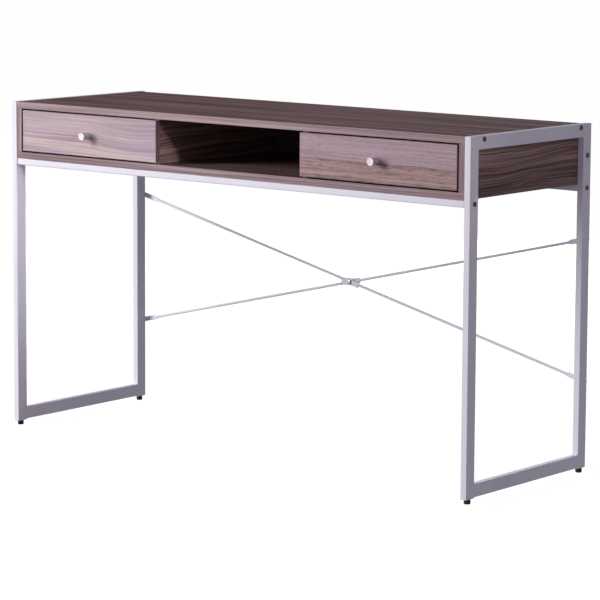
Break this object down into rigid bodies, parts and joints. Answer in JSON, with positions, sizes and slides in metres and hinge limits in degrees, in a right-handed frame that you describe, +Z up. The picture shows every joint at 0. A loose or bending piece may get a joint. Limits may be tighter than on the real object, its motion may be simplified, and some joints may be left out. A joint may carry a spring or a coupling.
{
  "type": "writing desk with drawers",
  "caption": "Shallow woodgrain board case with drawers either side of an open bay, carried between steel tube side frames with a cross brace behind.",
  "frame": {"origin": "on the floor, under the middle of the whole desk's box, knobs and bolt ends included", "axes": "+Z up, +X along the desk towards the sitter's right as seen from the front, +Y towards the back; the drawers open along -Y"},
  "size_m": [1.3058, 0.468, 0.755],
  "materials": {
    "wood_laminate": "matt grey-brown woodgrain laminate, grain along each board's length",
    "painted_steel": "pale grey-white powder coat, satin",
    "drawer_board": "plain matt paper-faced board",
    "knob_metal": "satin turned metal",
    "screw_steel": "zinc plated steel with a dark socket",
    "runner_steel": "bright zinc plated rolled sheet",
    "foot_plastic": "black moulded plastic"
  },
  "bodies": {
    "desk": {"top_board": "wood_laminate", "back_panel": "wood_laminate", "bottom_board": "wood_laminate", "side_panel_left": "wood_laminate", "divider_left": "wood_laminate", "side_panel_right": "wood_laminate", "divider_right": "wood_laminate", "side_frame_left": "painted_steel", "side_frame_right": "painted_steel", "stretcher_front": "painted_steel", "stretcher_rear": "painted_steel", "brace_plate_left": "painted_steel", "brace_plate_lower_right": "painted_steel", "brace_plate_upper_right": "painted_steel", "brace_rod_upper_left": "painted_steel", "brace_rod_upper_right": "painted_steel", "brace_rod_lower_left": "painted_steel", "brace_rod_lower_right": "painted_steel", "brace_centre_bolt": "screw_steel", "brace_centre_nut": "screw_steel", "brace_bolt_upper_left": "screw_steel", "brace_bolt_upper_right": "screw_steel", "brace_bolt_lower_left": "screw_steel", "brace_bolt_lower_right": "screw_steel", "screw_back_panel_left": "screw_steel", "screw_back_panel_right": "screw_steel", "screw_stretcher_front_left": "screw_steel", "screw_stretcher_front_right": "screw_steel", "screw_stretcher_rear_left": "screw_steel", "screw_stretcher_rear_right": "screw_steel", "screw_top_front_left": "screw_steel", "screw_top_front_right": "screw_steel", "screw_top_rear_left": "screw_steel", "screw_top_rear_right": "screw_steel", "runner_case_inner_left": "runner_steel", "runner_case_inner_right": "runner_steel", "runner_case_outer_left": "runner_steel", "runner_case_outer_right": "runner_steel"},
    "drawer_left": {"drawer_front_left": "wood_laminate", "drawer_left_back": "drawer_board", "drawer_left_bottom": "drawer_board", "drawer_left_side_left": "drawer_board", "drawer_left_side_right": "drawer_board", "knob_left": "knob_metal", "knob_screw_left": "screw_steel", "runner_drawer_inner_left": "runner_steel", "runner_drawer_outer_left": "runner_steel"},
    "drawer_right": {"drawer_front_right": "wood_laminate", "drawer_right_back": "drawer_board", "drawer_right_bottom": "drawer_board", "drawer_right_side_left": "drawer_board", "drawer_right_side_right": "drawer_board", "knob_right": "knob_metal", "knob_screw_right": "screw_steel", "runner_drawer_inner_right": "runner_steel", "runner_drawer_outer_right": "runner_steel"},
    "foot_front_left": {"foot_front_left": "foot_plastic"},
    "foot_front_right": {"foot_front_right": "foot_plastic"},
    "foot_rear_left": {"foot_rear_left": "foot_plastic"},
    "foot_rear_right": {"foot_rear_right": "foot_plastic"}
  },
  "joints": [
    {"name": "drawer_left_slide", "type": "slide", "parent": "desk", "child": "drawer_left", "axis": [0, -1, 0], "range_m": [0, 0.26]},
    {"name": "drawer_right_slide", "type": "slide", "parent": "desk", "child": "drawer_right", "axis": [0, -1, 0], "range_m": [0, 0.26]},
    {"name": "foot_front_left_turn", "type": "hinge", "parent": "desk", "child": "foot_front_left", "pos_m": [-0.6425, -0.199, 0], "axis": [0, 0, 1], "continuous": true},
    {"name": "foot_front_right_turn", "type": "hinge", "parent": "desk", "child": "foot_front_right", "pos_m": [0.6425, -0.199, 0], "axis": [0, 0, 1], "continuous": true},
    {"name": "foot_rear_left_turn", "type": "hinge", "parent": "desk", "child": "foot_rear_left", "pos_m": [-0.6425, 0.209, 0], "axis": [0, 0, 1], "continuous": true},
    {"name": "foot_rear_right_turn", "type": "hinge", "parent": "desk", "child": "foot_rear_right", "pos_m": [0.6425, 0.209, 0], "axis": [0, 0, 1], "continuous": true}
  ]
}
